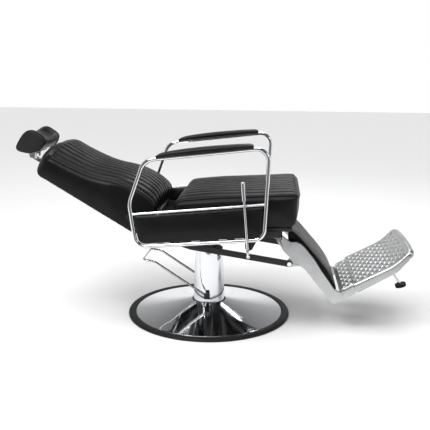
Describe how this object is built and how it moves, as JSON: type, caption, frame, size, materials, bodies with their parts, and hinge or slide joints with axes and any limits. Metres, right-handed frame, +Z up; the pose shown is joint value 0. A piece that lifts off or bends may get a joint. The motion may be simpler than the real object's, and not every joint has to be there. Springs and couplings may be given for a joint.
{
  "type": "hydraulic barber chair",
  "caption": "Reclining hydraulic barber chair with round pump base, looped chrome arms, channelled cushions, adjustable headrest and linked legrest with footplate.",
  "frame": {"origin": "centre of the round base, on the floor, on the swivel axis", "axes": "+X forwards, the way the sitter faces; +Y to the sitter's left; +Z up"},
  "size_m": [1.6428, 0.7, 0.79],
  "materials": {
    "leather_black": "satin",
    "leather_grey": "satin",
    "chrome": "polished",
    "cast_aluminium": "brushed",
    "black_steel": "satin",
    "bare_steel": "machined",
    "cast_iron": "rough",
    "rubber": "matte",
    "black_plastic": "satin",
    "bronze": "machined",
    "covered_board": "covered in black dust cloth"
  },
  "bodies": {
    "base": {"floor_plate": "cast_iron", "base_trim_ring": "rubber", "base_dome": "chrome", "pump_body": "cast_iron", "ram_seal": "rubber", "column_sleeve": "chrome", "column_cap": "black_plastic", "pump_bolts": "bare_steel", "pedal_bushes": "bronze"},
    "pedal": {"pedal_shaft": "black_steel", "pedal_bar": "chrome"},
    "plunger": {"pump_plunger": "bare_steel"},
    "lift": {"lift_ram": "bare_steel"},
    "seat": {"swivel_hub": "black_steel", "mounting_plate": "black_steel", "seat_frame": "black_steel", "seat_board": "covered_board", "seat_cushion": "leather_black", "arm_loop_left": "chrome", "arm_loop_right": "chrome", "side_panel_left": "leather_black", "side_panel_right": "leather_black", "arm_pad_left": "black_plastic", "arm_pad_right": "black_plastic", "cross_bars": "chrome", "arm_brackets": "black_steel", "hinge_plates": "black_steel", "leg_ears": "black_steel", "recline_pins": "bare_steel", "leg_pivot_bolts": "chrome", "lever_bracket": "black_steel", "lock_cylinder": "black_steel"},
    "lock_piston": {"lock_rod": "bare_steel"},
    "lever": {"lever_shaft": "bare_steel", "lever_bar": "chrome", "lever_grip": "chrome", "lever_ball": "chrome"},
    "release": {"release_rod": "bare_steel"},
    "backrest": {"back_cushion": "leather_black", "back_board": "covered_board", "back_arms": "black_steel", "link_rod": "bare_steel", "headrest_guide": "black_steel"},
    "head_slide": {"headrest_stem": "chrome", "headrest_rack": "black_steel", "headrest_pin": "bare_steel"},
    "headrest": {"headrest_bracket": "chrome", "headrest_cushion": "leather_grey"},
    "leg_links": {"link_left": "black_steel", "link_right": "black_steel", "link_pins": "chrome"},
    "legrest": {"leg_rail_left": "cast_aluminium", "leg_rail_right": "cast_aluminium", "calf_pad": "leather_black", "calf_board": "covered_board", "leg_spreaders": "bare_steel"},
    "footrest": {"footplate": "cast_aluminium", "footplate_pin": "bare_steel", "stop_rod": "chrome", "stop_foot": "rubber"}
  },
  "joints": [
    {"name": "pedal_press", "type": "hinge", "parent": "base", "child": "pedal", "pos_m": [0, 0, 0.098], "axis": [0, 1, 0], "range_deg": [-25, 0], "stiffness_Nm_per_rad": 8, "springref_deg": 20.05},
    {"name": "plunger_stroke", "type": "slide", "parent": "base", "child": "plunger", "axis": [0, 0, 1], "range_m": [0, 0.016]},
    {"name": "seat_lift", "type": "slide", "parent": "base", "child": "lift", "axis": [0, 0, 1], "range_m": [0, 0.12]},
    {"name": "seat_swivel", "type": "hinge", "parent": "lift", "child": "seat", "pos_m": [0, 0, 0.35], "axis": [0, 0, 1], "continuous": true},
    {"name": "backrest_recline", "type": "hinge", "parent": "seat", "child": "backrest", "pos_m": [-0.25, 0, 0.43], "axis": [0, 1, 0], "range_deg": [0, 45]},
    {"name": "legrest_raise", "type": "hinge", "parent": "seat", "child": "legrest", "pos_m": [0.296, 0, 0.386], "axis": [0, 1, 0], "range_deg": [0, 17]},
    {"name": "link_swing", "type": "hinge", "parent": "backrest", "child": "leg_links", "pos_m": [-0.237, 0, 0.39036], "axis": [0, 1, 0], "range_deg": [-44.2, 0]},
    {"name": "lock_stroke", "type": "slide", "parent": "seat", "child": "lock_piston", "axis": [-1, 0, 0], "range_m": [0, 0.033]},
    {"name": "lever_pull", "type": "hinge", "parent": "seat", "child": "lever", "pos_m": [0.178, -0.32, 0.368], "axis": [0, 1, 0], "range_deg": [-15, 0], "stiffness_Nm_per_rad": 4, "springref_deg": 11.46},
    {"name": "release_push", "type": "slide", "parent": "seat", "child": "release", "axis": [-1, 0, 0], "range_m": [0, 0.0065]},
    {"name": "headrest_height", "type": "slide", "parent": "backrest", "child": "head_slide", "axis": [-0.8566, 0, 0.5159], "range_m": [0, 0.08]},
    {"name": "headrest_tilt", "type": "hinge", "parent": "head_slide", "child": "headrest", "pos_m": [-0.7525, 0, 0.6757], "axis": [0, 1, 0], "range_deg": [-30, 5]},
    {"name": "footplate_flip", "type": "hinge", "parent": "legrest", "child": "footrest", "pos_m": [0.556, 0, 0.16], "axis": [0, 1, 0], "range_deg": [-45, 0]}
  ],
  "couplings": [
    {"joint": "plunger_stroke", "follows": "pedal_press", "m_per_rad": -0.036},
    {"joint": "legrest_raise", "follows": "backrest_recline", "ratio": 0.3762},
    {"joint": "link_swing", "follows": "backrest_recline", "ratio": -0.9788},
    {"joint": "lock_stroke", "follows": "backrest_recline", "m_per_rad": 0.04054},
    {"joint": "release_push", "follows": "lever_pull", "m_per_rad": -0.0234}
  ]
}
